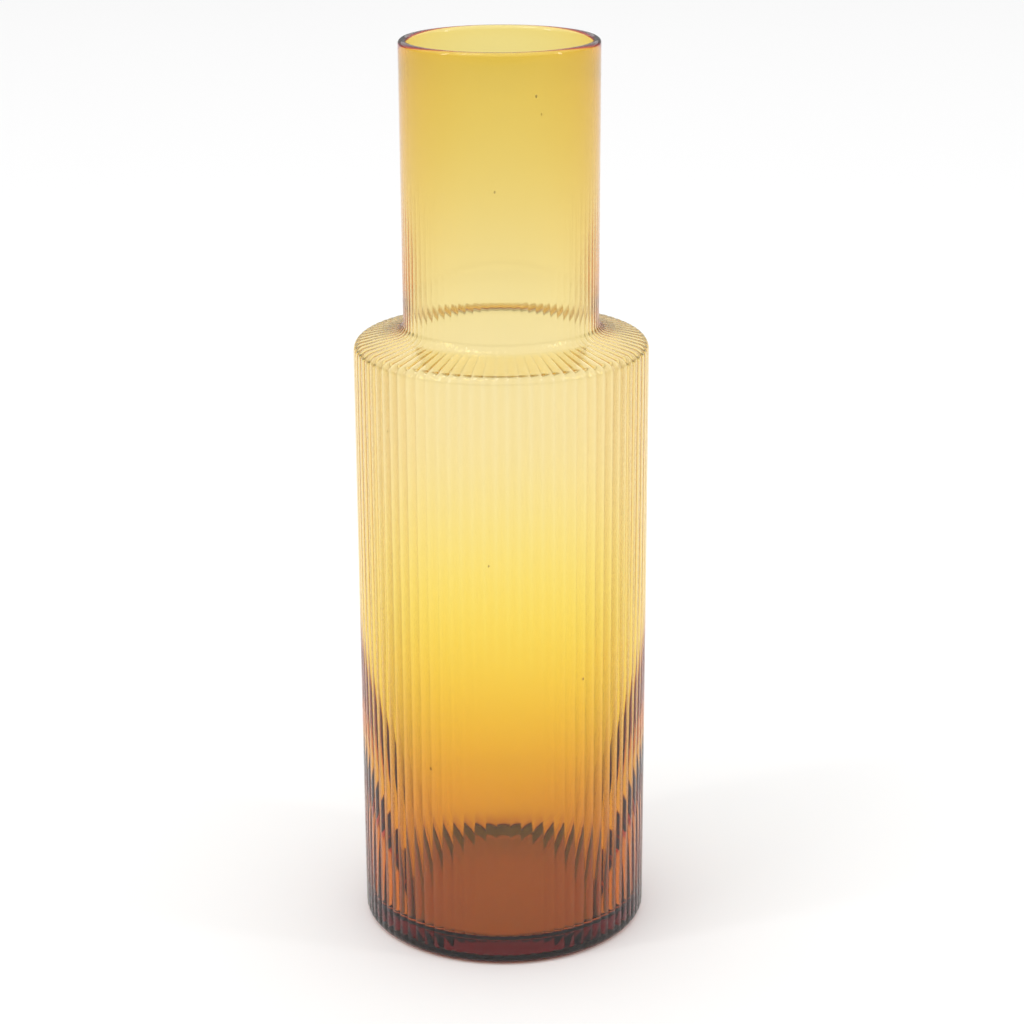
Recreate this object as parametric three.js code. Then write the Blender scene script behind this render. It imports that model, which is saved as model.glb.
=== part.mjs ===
// Hand blown glass vase: a straight ribbed cylinder on a heavy base, a low sloping shoulder and a
// narrower cylindrical neck with a fire-polished lip. The glass is split at level seams into the
// zones that a glassblower names: base, body wall, shoulder, neck and lip.
//
// The vase stands on z = 0 with its axis on +Z. Lengths are in millimetres and angles in degrees.
// Every section is an outline of a radius and a height, turned about the axis.

import * as THREE from "three";

// Outside of the vase. Diameters are taken over the crests of the ribs.
const HEIGHT = 310;
const BODY_DIAMETER = 99.4;
const NECK_BOTTOM_DIAMETER = 65.7;
const NECK_TOP_DIAMETER = 66.1;
const SHOULDER_HEIGHT = 209.4;
const SHOULDER_SLOPE = 14;
const SHOULDER_ROUNDING = 3.6;
const NECK_FILLET = 3.6;
const FOOT_ROUNDING = 3;

// Base: the solid glass under the floor, which stands on a flat ring around a shallow dish.
const BASE_THICKNESS = 6.2;
const BEARING_RING_WIDTH = 10;
const DISH_DEPTH = 1;

// Glass thickness, from a rib's crest to the smooth inside. The body is thick above the floor and
// thins upwards along a bell curve, and the neck gathers thickness again towards the lip.
const WALL_AT_FLOOR = 6.2;
const WALL_AT_SHOULDER = 1.2;
const WALL_TAPER_HEIGHT = 59;
const WALL_AT_NECK_TOP = 2.6;
const LIP_THICKNESS = 2.8;
const FLOOR_FILLET = 5;

// Ribs: rounded upright reeds with a narrow groove between each pair.
const RIB_COUNT = 80;
const BODY_GROOVE_DEPTH = 0.3;
const NECK_GROOVE_DEPTH = 0.15;
const NECK_GROOVE_SHARE = 0.55;

// Seams between the zones.
const SHOULDER_SKIRT = 7;
const LIP_BAND = 6;

// Fineness of the faceted solids.
const STEPS_PER_RIB = 2;
const ARC_STEPS = 3;
const DISH_STEPS = 2;
const LIP_STEPS = 6;
const TAPER_STEPS = 5;

// Lengths that follow from the driving dimensions.
const BODY_RADIUS = BODY_DIAMETER / 2;
const NECK_RADIUS = NECK_BOTTOM_DIAMETER / 2;
const LIP_RADIUS = NECK_TOP_DIAMETER / 2;
const LIP_ROUNDING = LIP_THICKNESS / 2;
const BODY_TOP = SHOULDER_HEIGHT - SHOULDER_SKIRT;
const NECK_TOP = HEIGHT - LIP_BAND;

const UPRIGHT = new THREE.Vector2(1, 0);

/** A point of an outline, with the way out of the glass and the depth of the groove there. */
class SkinPoint extends THREE.Vector2 {
  constructor(radius, height, outward = UPRIGHT, groove = 0) {
    super(radius, height);
    this.outward = outward;
    this.groove = groove;
  }

  /** The point of the smooth inside that lies one wall thickness behind this one. */
  inside(wall) {
    return new SkinPoint(this.x - wall * this.outward.x, this.y - wall * this.outward.y);
  }
}

/** Points along a round stretch. Angles run from 0 (outwards) to 90 (upwards). */
function arc(centreRadius, centreHeight, bend, fromAngle, toAngle, steps, facing = 1) {
  const points = [];
  for (let step = 0; step <= steps; step += 1) {
    const angle = THREE.MathUtils.degToRad(THREE.MathUtils.lerp(fromAngle, toAngle, step / steps));
    const away = new THREE.Vector2(Math.cos(angle), Math.sin(angle));
    const radius = centreRadius + bend * away.x;
    const height = centreHeight + bend * away.y;
    points.push(new SkinPoint(radius, height, away.multiplyScalar(facing)));
  }
  return points;
}

/** Gives each point of a stretch its groove, whose depth changes evenly along the stretch. */
function grooved(points, firstDepth, lastDepth) {
  points.forEach((point, index) => {
    point.groove = THREE.MathUtils.lerp(firstDepth, lastDepth, index / (points.length - 1));
  });
  return points;
}

/** Thickness of the body wall at a height. */
function bodyWall(height) {
  const rise = (height - BASE_THICKNESS) / WALL_TAPER_HEIGHT;
  return WALL_AT_SHOULDER + (WALL_AT_FLOOR - WALL_AT_SHOULDER) * Math.exp(-rise * rise);
}

/** Turns an outline into a closed body of glass and presses the grooves into it. */
function glass(name, outline, colour) {
  const segments = RIB_COUNT * STEPS_PER_RIB;
  const geometry = new THREE.LatheGeometry(outline, segments);
  const position = geometry.getAttribute("position");
  for (let index = 0; index < position.count; index += 1) {
    const point = outline[index % outline.length];
    const turn = Math.floor(index / outline.length) / segments;
    const angle = 2 * Math.PI * turn;
    const bite = point.groove * (1 - Math.cos(RIB_COUNT * angle)) / 2;
    const radius = point.x - bite * point.outward.x;
    const height = point.y - bite * point.outward.y;
    position.setXYZ(index, radius * Math.cos(angle), radius * Math.sin(angle), height);
  }
  geometry.computeVertexNormals();
  const material = new THREE.MeshStandardMaterial({ color: colour, roughness: 0.05, metalness: 0 });
  const mesh = new THREE.Mesh(geometry, material);
  mesh.name = name;
  return mesh;
}

/** Joins an outer skin that runs upwards to an inner skin that runs down again. */
function ring(outerSkin, innerSkin) {
  return [...outerSkin, ...innerSkin, outerSkin[0]];
}

/** Solid base: a dish and a flat bearing ring below, a rounded foot, and the floor on top. */
function makeBase() {
  const footRadius = BODY_RADIUS - FOOT_ROUNDING;
  const dishRadius = footRadius - BEARING_RING_WIDTH;
  const outline = [];
  for (let step = 0; step <= DISH_STEPS; step += 1) {
    const share = step / DISH_STEPS;
    outline.push(new SkinPoint(dishRadius * share, DISH_DEPTH * (1 - share * share)));
  }
  const foot = arc(footRadius, FOOT_ROUNDING, FOOT_ROUNDING, -90, 0, ARC_STEPS);
  outline.push(...grooved(foot, 0, BODY_GROOVE_DEPTH));
  outline.push(new SkinPoint(BODY_RADIUS, BASE_THICKNESS, UPRIGHT, BODY_GROOVE_DEPTH));
  outline.push(new SkinPoint(0, BASE_THICKNESS));
  return glass("base", outline, 0x7a3a12);
}

/** Ribbed body wall, from the floor's rounded corner up to the shoulder's skirt. */
function makeBodyWall() {
  const outerSkin = [
    new SkinPoint(BODY_RADIUS, BASE_THICKNESS, UPRIGHT, BODY_GROOVE_DEPTH),
    new SkinPoint(BODY_RADIUS, BODY_TOP, UPRIGHT, BODY_GROOVE_DEPTH),
  ];
  const filletTop = BASE_THICKNESS + FLOOR_FILLET;
  const innerSkin = [];
  for (let step = 0; step < TAPER_STEPS; step += 1) {
    // The steps lie closer together low down, where the wall changes most.
    const share = (1 - step / TAPER_STEPS) ** 2;
    const height = THREE.MathUtils.lerp(filletTop, BODY_TOP, share);
    innerSkin.push(new SkinPoint(BODY_RADIUS - bodyWall(height), height));
  }
  const filletRadius = BODY_RADIUS - bodyWall(filletTop) - FLOOR_FILLET;
  innerSkin.push(...arc(filletRadius, filletTop, FLOOR_FILLET, 0, -90, ARC_STEPS));
  return glass("body_wall", ring(outerSkin, innerSkin), 0xd9a02a);
}

/** Outer skin of the shoulder: skirt, rounded edge, slope and the fillet up into the neck. */
function shoulderSkin() {
  const slope = THREE.MathUtils.degToRad(SHOULDER_SLOPE);
  const edgeRadius = BODY_RADIUS - SHOULDER_ROUNDING;
  const edgeHeight = slopeHeight(edgeRadius) - SHOULDER_ROUNDING / Math.cos(slope);
  const edge = arc(edgeRadius, edgeHeight, SHOULDER_ROUNDING, 0, 90 - SHOULDER_SLOPE, ARC_STEPS);
  const fillet = arc(
    NECK_RADIUS + NECK_FILLET, neckStart(), NECK_FILLET, 270 - SHOULDER_SLOPE, 180, ARC_STEPS, -1);
  return [
    new SkinPoint(BODY_RADIUS, BODY_TOP, UPRIGHT, BODY_GROOVE_DEPTH),
    ...grooved(edge, BODY_GROOVE_DEPTH, BODY_GROOVE_DEPTH),
    ...grooved(fillet, NECK_GROOVE_DEPTH, NECK_GROOVE_DEPTH),
  ];
}

/** Height of the shoulder's slope at a radius. */
function slopeHeight(radius) {
  return SHOULDER_HEIGHT + (BODY_RADIUS - radius) * Math.tan(THREE.MathUtils.degToRad(SHOULDER_SLOPE));
}

/** Height at which the fillet has become the upright neck. */
function neckStart() {
  const slope = THREE.MathUtils.degToRad(SHOULDER_SLOPE);
  return slopeHeight(NECK_RADIUS + NECK_FILLET) + NECK_FILLET / Math.cos(slope);
}

/** Shoulder: a shell of one thickness between the body wall and the neck. */
function makeShoulder() {
  const outerSkin = shoulderSkin();
  const innerSkin = outerSkin.map((point) => point.inside(WALL_AT_SHOULDER)).reverse();
  innerSkin[innerSkin.length - 1] = new SkinPoint(BODY_RADIUS - bodyWall(BODY_TOP), BODY_TOP);
  return glass("shoulder", ring(outerSkin, innerSkin), 0xe8c66a);
}

/** Neck: a tube that thickens upwards and whose ribs fade out on the way. */
function makeNeck() {
  const bottom = neckStart();
  const fadeHeight = THREE.MathUtils.lerp(bottom, NECK_TOP, NECK_GROOVE_SHARE);
  const fadeRadius = THREE.MathUtils.lerp(NECK_RADIUS, LIP_RADIUS, NECK_GROOVE_SHARE);
  const outerSkin = [
    new SkinPoint(NECK_RADIUS, bottom, UPRIGHT, NECK_GROOVE_DEPTH),
    new SkinPoint(fadeRadius, fadeHeight),
    new SkinPoint(LIP_RADIUS, NECK_TOP),
  ];
  const innerSkin = [
    new SkinPoint(LIP_RADIUS - WALL_AT_NECK_TOP, NECK_TOP),
    new SkinPoint(NECK_RADIUS - WALL_AT_SHOULDER, bottom),
  ];
  return glass("neck", ring(outerSkin, innerSkin), 0xdcb04a);
}

/** Lip: the fire-polished top of the neck, rounded over its whole thickness. */
function makeLip() {
  const centreRadius = LIP_RADIUS - LIP_ROUNDING;
  const bead = arc(centreRadius, HEIGHT - LIP_ROUNDING, LIP_ROUNDING, 0, 180, LIP_STEPS);
  const outerSkin = [new SkinPoint(LIP_RADIUS, NECK_TOP), ...bead];
  const innerSkin = [new SkinPoint(LIP_RADIUS - WALL_AT_NECK_TOP, NECK_TOP)];
  return glass("lip", ring(outerSkin, innerSkin), 0xc8962e);
}

const vase = new THREE.Group();
vase.name = "vase";
vase.add(makeBase(), makeBodyWall(), makeShoulder(), makeNeck(), makeLip());

export default vase;
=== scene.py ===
"""Hand blown amber glass vase with moulded ribs: the fine glass body and its studio, in metres.

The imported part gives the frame. The vase stands on z = 0 with its axis on +Z, and its one body of
glass is modelled here at full fineness in place of the faceted zones.
"""

import logging
import math
from dataclasses import dataclass
from enum import Enum

import bpy
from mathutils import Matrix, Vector

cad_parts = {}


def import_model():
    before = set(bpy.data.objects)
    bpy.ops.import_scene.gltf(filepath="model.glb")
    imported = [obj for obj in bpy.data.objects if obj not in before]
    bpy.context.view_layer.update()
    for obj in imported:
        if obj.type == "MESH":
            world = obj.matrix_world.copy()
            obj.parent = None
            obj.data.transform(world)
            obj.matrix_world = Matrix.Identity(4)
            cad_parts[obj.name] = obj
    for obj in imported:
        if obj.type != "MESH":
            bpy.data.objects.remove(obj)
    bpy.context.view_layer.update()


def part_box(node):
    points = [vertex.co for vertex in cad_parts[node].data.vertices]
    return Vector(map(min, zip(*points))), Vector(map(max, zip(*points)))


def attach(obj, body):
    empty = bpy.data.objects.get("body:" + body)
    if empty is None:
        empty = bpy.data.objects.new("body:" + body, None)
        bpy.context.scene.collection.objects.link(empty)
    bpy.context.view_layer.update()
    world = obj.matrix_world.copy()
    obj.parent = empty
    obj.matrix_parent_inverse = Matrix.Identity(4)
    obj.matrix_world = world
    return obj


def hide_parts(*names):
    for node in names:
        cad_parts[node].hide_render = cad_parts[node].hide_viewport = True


LOG = logging.getLogger("vase")

# Corners closer together than this are one corner.
MERGE_DISTANCE = 5e-6

# How often a ray of light may turn in the ribbed glass, and on the matt floor.
GLASS_BOUNCES = 64
FLOOR_BOUNCES = 8

Point = tuple[float, float]
Place = tuple[float, float, float]
Colour = tuple[float, float, float]


class Zone(Enum):
    """Zones of the vase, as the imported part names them."""

    BASE = "base"
    BODY_WALL = "body_wall"
    SHOULDER = "shoulder"
    NECK = "neck"
    LIP = "lip"


class Blend(Enum):
    """Ways in which one colour acts on another."""

    MIX = "MIX"
    MULTIPLY = "MULTIPLY"


def arc(centre: Point, bend: float, start: float, end: float, steps: int) -> list[Point]:
    """Gives the points of a round stretch of an outline.

    Args:
        centre: Radius and height of the arc's centre.
        bend: Radius of the arc.
        start: First angle in degrees, from outwards towards upwards.
        end: Last angle in degrees.
        steps: Number of steps between the two.

    Returns:
        The points, both ends included.
    """
    points = []
    for step in range(steps + 1):
        angle = math.radians(start + (end - start) * step / steps)
        points.append((centre[0] + bend * math.cos(angle), centre[1] + bend * math.sin(angle)))
    return points


def between(start: Point, end: Point, steps: int) -> list[Point]:
    """Gives the points strictly between two others, evenly spaced.

    Args:
        start: The point before them.
        end: The point after them.
        steps: Number of steps from the one to the other.

    Returns:
        The points, without the two ends.
    """
    shares = [step / steps for step in range(1, steps)]
    return [
        (start[0] + (end[0] - start[0]) * share, start[1] + (end[1] - start[1]) * share)
        for share in shares
    ]


def deselect_all() -> None:
    """Leaves no object selected and none in edit mode."""
    if bpy.context.object and bpy.context.object.mode != "OBJECT":
        bpy.ops.object.mode_set(mode="OBJECT")
    bpy.ops.object.select_all(action="DESELECT")


def only(piece: bpy.types.Object) -> None:
    """Makes one object the only selected one and the active one.

    Args:
        piece: The object to work on.
    """
    deselect_all()
    piece.select_set(True)
    bpy.context.view_layer.objects.active = piece


def join(piece: bpy.types.Object, parts: list[bpy.types.Object]) -> None:
    """Joins parts to a piece, which stays selected and active.

    Args:
        piece: The piece that takes the parts in.
        parts: The parts, which are gone afterwards.
    """
    only(piece)
    for part in parts:
        part.select_set(True)
    bpy.ops.object.join()


def apply_modifier(piece: bpy.types.Object, modifier: bpy.types.Modifier) -> None:
    """Applies one modifier of a piece.

    Args:
        piece: The piece, which stays selected and active.
        modifier: The modifier, which is gone afterwards.
    """
    only(piece)
    bpy.ops.object.modifier_apply(modifier=modifier.name)


def select_open_edges() -> None:
    """Selects the edges, in edit mode, that belong to one face only."""
    bpy.ops.mesh.select_mode(type="EDGE")
    bpy.ops.mesh.select_all(action="DESELECT")
    bpy.ops.mesh.select_non_manifold(
        extend=False,
        use_wire=False,
        use_multi_face=False,
        use_non_contiguous=False,
        use_verts=False,
    )


def turned(name: str, outline: list[Point], segments: int, copies: int) -> bpy.types.Object:
    """Draws an outline edge by edge, spins one sector of it, and copies the sector all round.

    Args:
        name: Name of the new piece.
        outline: Radius and height of each corner of the half section.
        segments: Steps in a full turn.
        copies: Sectors in a full turn.

    Returns:
        The turned surface, with no doubled corners.
    """
    sector = math.tau / copies
    deselect_all()
    bpy.ops.mesh.primitive_plane_add(size=MERGE_DISTANCE, location=(0, 0, 0))
    piece = bpy.context.object
    piece.name = name
    # The tiny plate shrinks to one corner, from which the outline is drawn.
    bpy.ops.object.mode_set(mode="EDIT")
    bpy.ops.mesh.select_all(action="SELECT")
    bpy.ops.mesh.merge(type="CENTER")
    bpy.ops.transform.translate(value=(outline[0][0], 0, outline[0][1]))
    for start, end in zip(outline, outline[1:]):
        step = (end[0] - start[0], 0, end[1] - start[1])
        bpy.ops.mesh.extrude_vertices_move(TRANSFORM_OT_translate={"value": step})
    bpy.ops.mesh.select_all(action="SELECT")
    bpy.ops.mesh.spin(steps=segments // copies, angle=sector, center=(0, 0, 0), axis=(0, 0, 1))
    bpy.ops.object.mode_set(mode="OBJECT")
    bpy.ops.object.empty_add(rotation=(0, 0, sector))
    pivot = bpy.context.object
    repeat = piece.modifiers.new("repeat", "ARRAY")
    repeat.use_relative_offset = False
    repeat.use_object_offset = True
    repeat.offset_object = pivot
    repeat.count = copies
    apply_modifier(piece, repeat)
    bpy.data.objects.remove(pivot)
    bpy.ops.object.mode_set(mode="EDIT")
    bpy.ops.mesh.select_all(action="SELECT")
    bpy.ops.mesh.remove_doubles(threshold=MERGE_DISTANCE)
    bpy.ops.object.mode_set(mode="OBJECT")
    return piece


def soft_noise(
    tree: bpy.types.NodeTree, place: bpy.types.NodeSocket, scale: float
) -> bpy.types.NodeSocket:
    """Adds a soft noise to a material.

    Args:
        tree: The material's nodes.
        place: The coordinates that the noise follows.
        scale: Repeats in a metre.

    Returns:
        The noise, from 0 to 1.
    """
    noise = tree.nodes.new("ShaderNodeTexNoise")
    noise.inputs["Scale"].default_value = scale
    tree.links.new(place, noise.inputs["Vector"])
    return noise.outputs["Fac"]


def colour_mix(tree: bpy.types.NodeTree, blend: Blend) -> tuple[bpy.types.NodeSocket, ...]:
    """Adds a mix of two colours to a material.

    Args:
        tree: The material's nodes.
        blend: How the second colour acts on the first.

    Returns:
        The sockets of the share, the first colour, the second colour and the result.
    """
    mix = tree.nodes.new("ShaderNodeMix")
    mix.data_type = "RGBA"
    mix.blend_type = blend.value
    first, second = (socket for socket in mix.inputs if socket.type == "RGBA")
    result = next(socket for socket in mix.outputs if socket.type == "RGBA")
    return mix.inputs["Factor"], first, second, result


@dataclass(frozen=True)
class AmberGlass:
    """Clear amber soda-lime glass: the deeper the glass, the browner it looks.

    The absorption is what a metre of the glass takes from red, green and blue light. The surface
    tint is amber low down, almost clear above and olive at the lip, and varies in faint drawn-out
    streaks. The surface carries a thin handling haze and the slow ripple of blown glass. The
    height is that of the vase, and the scales of the patterns are repeats in a metre.
    """

    height: float
    name: str = "amber_glass"
    absorption: Colour = (24.0, 112.0, 450.0)
    refraction: float = 1.52
    clear_tint: Colour = (1.0, 1.0, 0.995)
    streak_tint: Colour = (0.99, 0.985, 0.95)
    tint_by_height: tuple[tuple[float, Colour], ...] = (
        (0.075, (1.0, 0.98, 0.42)),
        (0.185, (0.97, 0.97, 1.0)),
        (0.230, (0.97, 0.99, 1.0)),
        (0.310, (0.95, 1.0, 0.86)),
    )
    streak_scale: float = 60.0
    streak_stretch: float = 0.12
    polish: float = 0.0
    handling_haze: float = 0.05
    haze_scale: float = 35.0
    haze_edges: tuple[float, float] = (0.5, 0.75)
    ripple_height: float = 0.00006
    ripple_strength: float = 0.5
    ripple_scale: float = 14.0

    def material(self) -> bpy.types.Material:
        """Builds the material.

        Returns:
            The finished glass.
        """
        material = bpy.data.materials.new(self.name)
        material.use_nodes = True
        nodes = material.node_tree.nodes
        shader = nodes["Principled BSDF"]
        shader.inputs["Transmission Weight"].default_value = 1.0
        shader.inputs["IOR"].default_value = self.refraction
        place = nodes.new("ShaderNodeTexCoord").outputs["Object"]
        self.add_streaks(material.node_tree, shader, place)
        self.add_haze(material.node_tree, shader, place)
        self.add_ripple(material.node_tree, shader, place)
        self.add_depth_of_colour(material.node_tree)
        return material

    def add_streaks(
        self, tree: bpy.types.NodeTree, shader: bpy.types.Node, place: bpy.types.NodeSocket
    ) -> None:
        """Varies the tint in streaks drawn out along the vase's height.

        Args:
            tree: The material's nodes.
            shader: The glass shader.
            place: Object coordinates.
        """
        drawn = tree.nodes.new("ShaderNodeMapping")
        drawn.inputs["Scale"].default_value = (1, 1, self.streak_stretch)
        tree.links.new(place, drawn.inputs["Vector"])
        share, clear, streak, streaked = colour_mix(tree, Blend.MIX)
        tree.links.new(soft_noise(tree, drawn.outputs["Vector"], self.streak_scale), share)
        clear.default_value = (*self.clear_tint, 1)
        streak.default_value = (*self.streak_tint, 1)
        self.tint_with_height(tree, shader, place, streaked)

    def tint_with_height(
        self,
        tree: bpy.types.NodeTree,
        shader: bpy.types.Node,
        place: bpy.types.NodeSocket,
        streaked: bpy.types.NodeSocket,
    ) -> None:
        """Changes the streaked tint from the foot up to the lip.

        Args:
            tree: The material's nodes.
            shader: The glass shader.
            place: Object coordinates.
            streaked: The tint with its streaks.
        """
        axes = tree.nodes.new("ShaderNodeSeparateXYZ")
        tree.links.new(place, axes.inputs["Vector"])
        rise = tree.nodes.new("ShaderNodeMath")
        rise.operation = "DIVIDE"
        rise.inputs[1].default_value = self.height
        tree.links.new(axes.outputs["Z"], rise.inputs[0])
        ramp = tree.nodes.new("ShaderNodeValToRGB")
        ramp.color_ramp.interpolation = "EASE"
        stops = ramp.color_ramp.elements
        stops.remove(stops[0])
        for index, (level, colour) in enumerate(self.tint_by_height):
            stop = stops[0] if index == 0 else stops.new(level / self.height)
            stop.position = level / self.height
            stop.color = (*colour, 1)
        tree.links.new(rise.outputs["Value"], ramp.inputs["Fac"])
        share, streaks, level_tint, tint = colour_mix(tree, Blend.MULTIPLY)
        share.default_value = 1
        tree.links.new(streaked, streaks)
        tree.links.new(ramp.outputs["Color"], level_tint)
        tree.links.new(tint, shader.inputs["Base Color"])

    def add_haze(
        self, tree: bpy.types.NodeTree, shader: bpy.types.Node, place: bpy.types.NodeSocket
    ) -> None:
        """Dulls the polish in soft patches, as handling does.

        Args:
            tree: The material's nodes.
            shader: The glass shader.
            place: Object coordinates.
        """
        haze = tree.nodes.new("ShaderNodeMapRange")
        haze.inputs["From Min"].default_value = self.haze_edges[0]
        haze.inputs["From Max"].default_value = self.haze_edges[1]
        haze.inputs["To Min"].default_value = self.polish
        haze.inputs["To Max"].default_value = self.handling_haze
        tree.links.new(soft_noise(tree, place, self.haze_scale), haze.inputs["Value"])
        tree.links.new(haze.outputs["Result"], shader.inputs["Roughness"])

    def add_ripple(
        self, tree: bpy.types.NodeTree, shader: bpy.types.Node, place: bpy.types.NodeSocket
    ) -> None:
        """Adds the slow unevenness of glass that was blown and turned by hand.

        Args:
            tree: The material's nodes.
            shader: The glass shader.
            place: Object coordinates.
        """
        ripple = tree.nodes.new("ShaderNodeBump")
        ripple.inputs["Strength"].default_value = self.ripple_strength
        ripple.inputs["Distance"].default_value = self.ripple_height
        tree.links.new(soft_noise(tree, place, self.ripple_scale), ripple.inputs["Height"])
        tree.links.new(ripple.outputs["Normal"], shader.inputs["Normal"])

    def add_depth_of_colour(self, tree: bpy.types.NodeTree) -> None:
        """Tints the glass through its thickness.

        Args:
            tree: The material's nodes.
        """
        density = max(self.absorption)
        tint = [1 - share / density for share in self.absorption]
        volume = tree.nodes.new("ShaderNodeVolumeAbsorption")
        volume.inputs["Color"].default_value = (*tint, 1)
        volume.inputs["Density"].default_value = density
        tree.links.new(volume.outputs["Volume"], tree.nodes["Material Output"].inputs["Volume"])


@dataclass(frozen=True)
class PaleSweep:
    """Matt white studio floor."""

    name: str = "pale_sweep"
    colour: Colour = (0.95, 0.95, 0.95)
    roughness: float = 0.9
    gloss: float = 0.1

    def material(self) -> bpy.types.Material:
        """Builds the material.

        Returns:
            The finished floor.
        """
        material = bpy.data.materials.new(self.name)
        material.use_nodes = True
        shader = material.node_tree.nodes["Principled BSDF"]
        shader.inputs["Base Color"].default_value = (*self.colour, 1)
        shader.inputs["Roughness"].default_value = self.roughness
        shader.inputs["Specular IOR Level"].default_value = self.gloss
        return material


@dataclass(frozen=True)
class Seed:
    """A tiny bubble drawn out in the glass. Its turn is in degrees, anticlockwise from +X."""

    turn: float
    level: float
    width: float
    stretch: float = 1.7
    fineness: int = 3

    def build(self, radius: float) -> bpy.types.Object:
        """Makes the bubble's own surface, which faces into the bubble.

        Args:
            radius: Distance of the middle of the wall from the axis.

        Returns:
            The bubble, ready to be joined to the glass.
        """
        angle = math.radians(self.turn)
        place = (radius * math.cos(angle), radius * math.sin(angle), self.level)
        deselect_all()
        bpy.ops.mesh.primitive_ico_sphere_add(
            subdivisions=self.fineness, radius=self.width / 2, location=place
        )
        bubble = bpy.context.object
        bpy.ops.object.mode_set(mode="EDIT")
        bpy.ops.mesh.select_all(action="SELECT")
        bpy.ops.transform.resize(value=(1, 1, self.stretch))
        bpy.ops.mesh.flip_normals()
        bpy.ops.object.mode_set(mode="OBJECT")
        return bubble


@dataclass
class VaseGlass:
    """The vase's one body of glass: a ribbed skin outside and a smooth lining inside.

    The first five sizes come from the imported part. Lengths are in metres and the slope is in
    degrees. A wall is measured from the crest of a rib to the smooth inside. The lip
    thins to the neck's wall over a number of its own radii, and the steps set how finely each
    stretch of the two outlines is drawn.
    """

    body_radius: float
    lip_radius: float
    height: float
    floor_level: float
    neck_start: float
    neck_radius: float = 0.03285
    foot_rounding: float = 0.003
    bearing_ring: float = 0.010
    dish_depth: float = 0.001
    shoulder_slope: float = 14.0
    shoulder_rounding: float = 0.0036
    neck_fillet: float = 0.0036
    floor_fillet: float = 0.005
    wall_at_floor: float = 0.0062
    wall_at_shoulder: float = 0.0012
    wall_taper: float = 0.059
    wall_at_neck_top: float = 0.0026
    lip_thickness: float = 0.0028
    lip_gather: float = 3.0
    ribs: int = 80
    body_groove: float = 0.0003
    neck_groove: float = 0.00015
    groove_sharpness: float = 2.2
    groove_share_of_neck: float = 0.55
    bridge_width: float = 0.0008
    steps_per_rib: int = 16
    smooth_segments: int = 320
    dish_steps: int = 4
    round_steps: int = 6
    slope_steps: int = 4
    body_steps: int = 14
    neck_steps: int = 8
    lip_side_steps: int = 5
    lip_steps: int = 16
    wall_steps: int = 16
    corner_steps: int = 8
    floor_steps: int = 4
    seeds: tuple[Seed, ...] = (
        Seed(240, 0.071, 0.0008),
        Seed(265, 0.146, 0.0005),
        Seed(291, 0.296, 0.0006),
        Seed(267, 0.266, 0.0005),
        Seed(303, 0.103, 0.0006),
        Seed(221, 0.187, 0.0004),
        Seed(152, 0.052, 0.0009),
        Seed(95, 0.124, 0.0006),
        Seed(63, 0.281, 0.0005),
        Seed(18, 0.088, 0.0007),
        Seed(341, 0.160, 0.0005),
        Seed(127, 0.034, 0.0008),
    )

    def slope_level(self, radius: float) -> float:
        """Height of the shoulder's sloping top at a radius."""
        slope = math.radians(self.shoulder_slope)
        fillet_radius = self.neck_radius + self.neck_fillet
        fillet_level = self.neck_start - self.neck_fillet / math.cos(slope)
        return fillet_level - (radius - fillet_radius) * math.tan(slope)

    def wall(self, level: float) -> float:
        """Thickness of the body wall at a height."""
        rise = (level - self.floor_level) / self.wall_taper
        gather = self.wall_at_floor - self.wall_at_shoulder
        return self.wall_at_shoulder + gather * math.exp(-rise * rise)

    def fade_level(self) -> float:
        """Height on the neck at which the grooves have faded out."""
        return self.neck_start + (self.height - self.neck_start) * self.groove_share_of_neck

    def share_of_neck(self, level: float) -> float:
        """How far up the neck a height lies, from 0 to 1."""
        return (level - self.neck_start) / (self.height - self.neck_start)

    def neck_radius_at(self, level: float) -> float:
        """Outer radius of the neck at a height."""
        return self.neck_radius + (self.lip_radius - self.neck_radius) * self.share_of_neck(level)

    def shoulder_outline(self, inset: float) -> list[Point]:
        """Outline of the shoulder from the wall up to the neck.

        Args:
            inset: How far inside the outer skin the outline lies.

        Returns:
            The rounded edge, the slope and the fillet.
        """
        slope = math.radians(self.shoulder_slope)
        steps = self.round_steps
        edge_radius = self.body_radius - self.shoulder_rounding
        edge_level = self.slope_level(edge_radius) - self.shoulder_rounding / math.cos(slope)
        fillet_radius = self.neck_radius + self.neck_fillet
        edge_bend = self.shoulder_rounding - inset
        fillet_bend = self.neck_fillet + inset
        edge = arc((edge_radius, edge_level), edge_bend, 0, 90 - self.shoulder_slope, steps)
        fillet_centre = (fillet_radius, self.neck_start)
        fillet = arc(fillet_centre, fillet_bend, 270 - self.shoulder_slope, 180, steps)
        return [*edge, *between(edge[-1], fillet[0], self.slope_steps), *fillet]

    def ribbed_outline(self) -> list[Point]:
        """Half section of the ribbed glass, from the middle of the underside up to the neck.

        Returns:
            The dish, the foot, the body, the shoulder and the neck as far as its ribs reach.
        """
        foot_centre = (self.body_radius - self.foot_rounding, self.foot_rounding)
        foot = arc(foot_centre, self.foot_rounding, -90, 0, self.round_steps)
        shoulder = self.shoulder_outline(0)
        fade = (self.neck_radius_at(self.fade_level()), self.fade_level())
        return [
            *self.dish_outline(),
            *foot,
            *between(foot[-1], shoulder[0], self.body_steps),
            *shoulder,
            *between(shoulder[-1], fade, self.neck_steps),
            fade,
        ]

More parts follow.
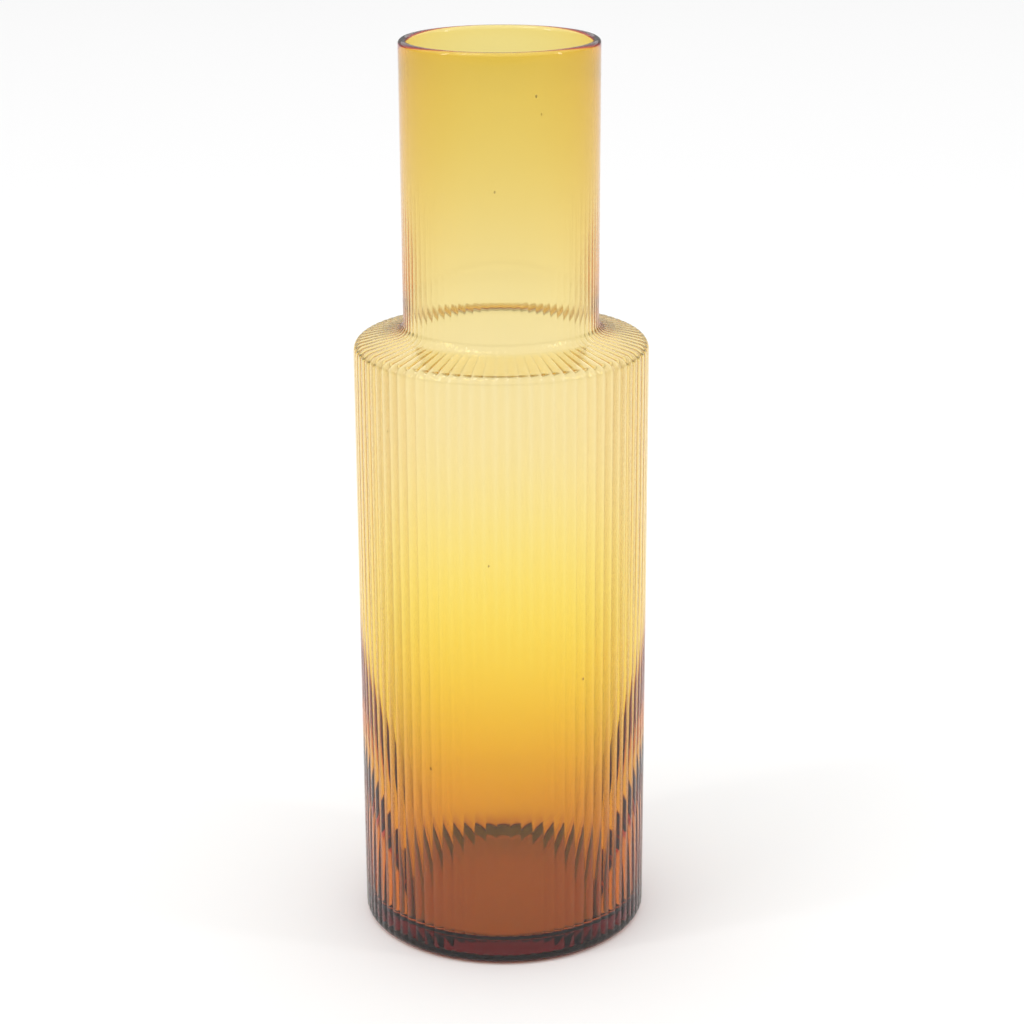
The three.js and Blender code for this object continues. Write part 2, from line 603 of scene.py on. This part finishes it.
    def lining_outline(self) -> list[Point]:
        """Half section of the plain glass, from the neck over the lip and down to the floor.

        Returns:
            The upper neck, the lip, the inside and the floor.
        """
        fade_level = self.fade_level() + self.bridge_width
        fade = (self.neck_radius_at(fade_level), fade_level)
        bead = self.lip_thickness / 2
        lip_centre = (self.lip_radius - bead, self.height - bead)
        lip = arc(lip_centre, bead, 0, 180, self.lip_steps)
        lip_end = self.height - self.lip_gather * bead
        below_lip = (self.lip_radius - self.wall_at_neck_top, lip_end)
        shoulder = self.shoulder_outline(self.wall_at_shoulder)[::-1]
        wall_top = shoulder[-1][1]
        corner_level = self.floor_level + self.floor_fillet
        wall = []
        for step in range(1, self.wall_steps + 1):
            level = wall_top + (corner_level - wall_top) * step / self.wall_steps
            wall.append((self.body_radius - self.wall(level), level))
        corner_centre = (wall[-1][0] - self.floor_fillet, corner_level)
        corner = arc(corner_centre, self.floor_fillet, 0, -90, self.corner_steps)
        centre = (0.0, self.floor_level)
        return [
            fade,
            *between(fade, lip[0], self.lip_side_steps),
            *lip,
            below_lip,
            *between(below_lip, shoulder[0], self.neck_steps),
            *shoulder,
            *wall,
            *corner[1:],
            *between(corner[-1], centre, self.floor_steps),
            centre,
        ]

    def dish_outline(self) -> list[Point]:
        """Half section of the shallow dish, from its middle out to the flat bearing ring.

        Returns:
            The points of the dish, both ends included.
        """
        dish = self.body_radius - self.foot_rounding - self.bearing_ring
        shares = [step / self.dish_steps for step in range(self.dish_steps + 1)]
        return [(dish * share, self.dish_depth * (1 - share * share)) for share in shares]

    def press_grooves(self, skin: bpy.types.Object) -> None:
        """Presses the grooves between the ribs into the skin, along its own normals.

        Args:
            skin: The turned skin, still smooth.
        """
        group = skin.vertex_groups.new(name="grooves")
        for vertex in skin.data.vertices:
            place = vertex.co
            turn = math.atan2(place.y, place.x) / math.tau * self.ribs
            # From 0 on the crest of a rib to 1 in the middle of a groove.
            offset = abs(turn - round(turn)) * 2
            bite = offset ** self.groove_sharpness * self.groove_share(place)
            group.add([vertex.index], bite, "REPLACE")
        press = skin.modifiers.new("press", "DISPLACE")
        press.direction = "NORMAL"
        press.mid_level = 0
        press.strength = -self.body_groove
        press.vertex_group = group.name
        apply_modifier(skin, press)
        skin.vertex_groups.clear()

    def groove_share(self, place: Vector) -> float:
        """Depth of the grooves at a place on the skin.

        Args:
            place: A corner of the skin.

        Returns:
            The share of the grooves' depth on the body.
        """
        radius = place.xy.length
        if radius < self.body_radius - self.foot_rounding and place.z < self.floor_level:
            return 0.0
        if place.z < self.foot_rounding:
            return place.z / self.foot_rounding
        if place.z < self.slope_level(self.body_radius - self.shoulder_rounding):
            return 1.0
        neck_share = self.neck_groove / self.body_groove
        if place.z > self.neck_start:
            fade = (place.z - self.neck_start) / (self.fade_level() - self.neck_start)
            return neck_share * max(1 - fade, 0)
        inwards = (self.body_radius - radius) / (self.body_radius - self.neck_radius)
        return 1 + (neck_share - 1) * min(max(inwards, 0), 1)

    def build(self, glass: AmberGlass) -> bpy.types.Object:
        """Builds the closed body of glass and dresses it.

        Args:
            glass: The finish.

        Returns:
            The vase, in the row frame.
        """
        segments = self.ribs * self.steps_per_rib
        vase = turned("vase_glass", self.ribbed_outline(), segments, self.ribs)
        self.press_grooves(vase)
        lining = turned("lining", self.lining_outline(), self.smooth_segments, self.ribs)
        self.refine_open_edge(lining)
        join(vase, [lining])
        self.close(vase)
        self.add_seeds(vase)
        bpy.ops.object.shade_smooth()
        vase.data.materials.append(glass.material())
        return vase

    def middle_of_wall(self, level: float) -> float:
        """Finds the middle of the body's or the neck's wall at a height.

        Args:
            level: A height that isn't on the shoulder.

        Returns:
            Its distance from the axis.
        """
        if level < self.neck_start:
            return self.body_radius - self.wall(level) / 2
        gather = self.wall_at_neck_top - self.wall_at_shoulder
        wall = self.wall_at_shoulder + gather * self.share_of_neck(level)
        return self.neck_radius_at(level) - wall / 2

    def add_seeds(self, vase: bpy.types.Object) -> None:
        """Joins the seed bubbles to the glass as hollows in its wall.

        Args:
            vase: The closed body of glass.
        """
        bubbles = [seed.build(self.middle_of_wall(seed.level)) for seed in self.seeds]
        join(vase, bubbles)
        LOG.info("seed bubbles: %d", len(bubbles))

    def refine_open_edge(self, part: bpy.types.Object) -> None:
        """Divides a plain part's open edge as finely as the ribbed skin's, to be bridged to it.

        Args:
            part: The plain part.
        """
        only(part)
        bpy.ops.object.mode_set(mode="EDIT")
        select_open_edges()
        cuts = self.ribs * self.steps_per_rib // self.smooth_segments - 1
        bpy.ops.mesh.subdivide(number_cuts=cuts)
        bpy.ops.object.mode_set(mode="OBJECT")

    def close(self, vase: bpy.types.Object) -> None:
        """Bridges the skin to the lining on the neck and turns every face outwards.

        Args:
            vase: The skin and the lining, joined.
        """
        only(vase)
        bpy.ops.object.mode_set(mode="EDIT")
        select_open_edges()
        bpy.ops.mesh.bridge_edge_loops()
        bpy.ops.mesh.select_all(action="SELECT")
        bpy.ops.mesh.normals_make_consistent(inside=False)
        bpy.ops.object.mode_set(mode="OBJECT")


@dataclass(frozen=True)
class SoftBox:
    """A flat lamp with an even white front, aimed at a point.

    The brightness is that of its front, so a larger lamp of the same brightness gives more light.
    """

    name: str
    place: Place
    aim: Place
    width: float
    length: float
    brightness: float

    def build(self) -> None:
        """Hangs the lamp and aims it."""
        deselect_all()
        away = Vector(self.place) - Vector(self.aim)
        turn = away.to_track_quat("Z", "Y").to_euler()
        bpy.ops.object.light_add(type="AREA", location=self.place, rotation=turn)
        lamp = bpy.context.object
        lamp.name = self.name
        lamp.visible_camera = False
        lamp.data.shape = "RECTANGLE"
        lamp.data.size = self.width
        lamp.data.size_y = self.length
        lamp.data.energy = self.brightness * math.pi * self.width * self.length


@dataclass(frozen=True)
class Studio:
    """Plain floor, soft light and camera of a small still-life studio.

    The lens is in millimetres and the camera's pitch and roll are in degrees.
    """

    lens: float = 89.5
    camera_distance: float = 0.830
    camera_height: float = 0.4277
    camera_aside: float = 0.00336
    camera_pitch: float = 18.62
    camera_roll: float = 0.265
    nearest_view: float = 0.01
    floor_size: float = 12.0
    room_light: float = 0.35
    lamps: tuple[SoftBox, ...] = (
        SoftBox("overhead_soft_box", (0, 0.6, 1.3), (0, 0.6, 0), 8.0, 8.0, 0.74),
        SoftBox("key_soft_box", (-0.45, -0.35, 1.25), (0, 0, 0.15), 0.32, 0.32, 4.0),
        SoftBox("left_soft_box", (-1.10, -0.49, 0.75), (0, 0, 0.25), 0.12, 0.8, 6.0),
        SoftBox("right_soft_box", (1.14, -0.37, 0.75), (0, 0, 0.25), 0.12, 0.8, 6.0),
    )

    def build_floor(self, finish: PaleSweep) -> None:
        """Lays the floor on which the vase stands.

        Args:
            finish: The finish of the floor.
        """
        deselect_all()
        bpy.ops.mesh.primitive_plane_add(size=self.floor_size, location=(0, 0, 0))
        floor = bpy.context.object
        floor.name = "floor"
        floor.data.materials.append(finish.material())
        LOG.info("floor: %.0f m wide", self.floor_size)

    def build_light(self) -> None:
        """Hangs a broad soft box overhead, a small one at the front left and one at each side."""
        world = bpy.data.worlds.new("room")
        world.use_nodes = True
        background = world.node_tree.nodes["Background"]
        background.inputs["Color"].default_value = (1, 1, 1, 1)
        background.inputs["Strength"].default_value = self.room_light
        bpy.context.scene.world = world
        for lamp in self.lamps:
            lamp.build()
            LOG.info("%s: brightness %.2f", lamp.name, lamp.brightness)

    def build_camera(self) -> None:
        """Sets the camera up in front of the vase, looking slightly down."""
        deselect_all()
        bpy.ops.object.camera_add(
            location=(self.camera_aside, -self.camera_distance, self.camera_height),
            rotation=(math.radians(90 - self.camera_pitch), 0, 0),
        )
        camera = bpy.context.object
        camera.rotation_euler.rotate_axis("Z", math.radians(-self.camera_roll))
        camera.data.lens = self.lens
        camera.data.clip_start = self.nearest_view
        bpy.context.scene.camera = camera


def main() -> None:
    """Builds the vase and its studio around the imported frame."""
    logging.basicConfig(level=logging.INFO, format="%(name)s: %(message)s")
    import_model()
    studio = Studio()
    studio.build_camera()
    vase_sizes = VaseGlass(
        body_radius=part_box(Zone.BODY_WALL.value)[1].x,
        lip_radius=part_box(Zone.LIP.value)[1].x,
        height=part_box(Zone.LIP.value)[1].z,
        floor_level=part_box(Zone.BASE.value)[1].z,
        neck_start=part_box(Zone.NECK.value)[0].z,
    )
    vase = vase_sizes.build(AmberGlass(height=vase_sizes.height))
    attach(vase, "root")
    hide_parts(*(zone.value for zone in Zone))
    LOG.info("vase glass: %d corners, %d faces", len(vase.data.vertices), len(vase.data.polygons))
    studio.build_floor(PaleSweep())
    studio.build_light()

    scene = bpy.context.scene
    scene.view_settings.view_transform = "Standard"
    scene.cycles.max_bounces = GLASS_BOUNCES
    scene.cycles.glossy_bounces = GLASS_BOUNCES
    scene.cycles.transmission_bounces = GLASS_BOUNCES
    scene.cycles.diffuse_bounces = FLOOR_BOUNCES


if __name__ == "__main__":
    main()
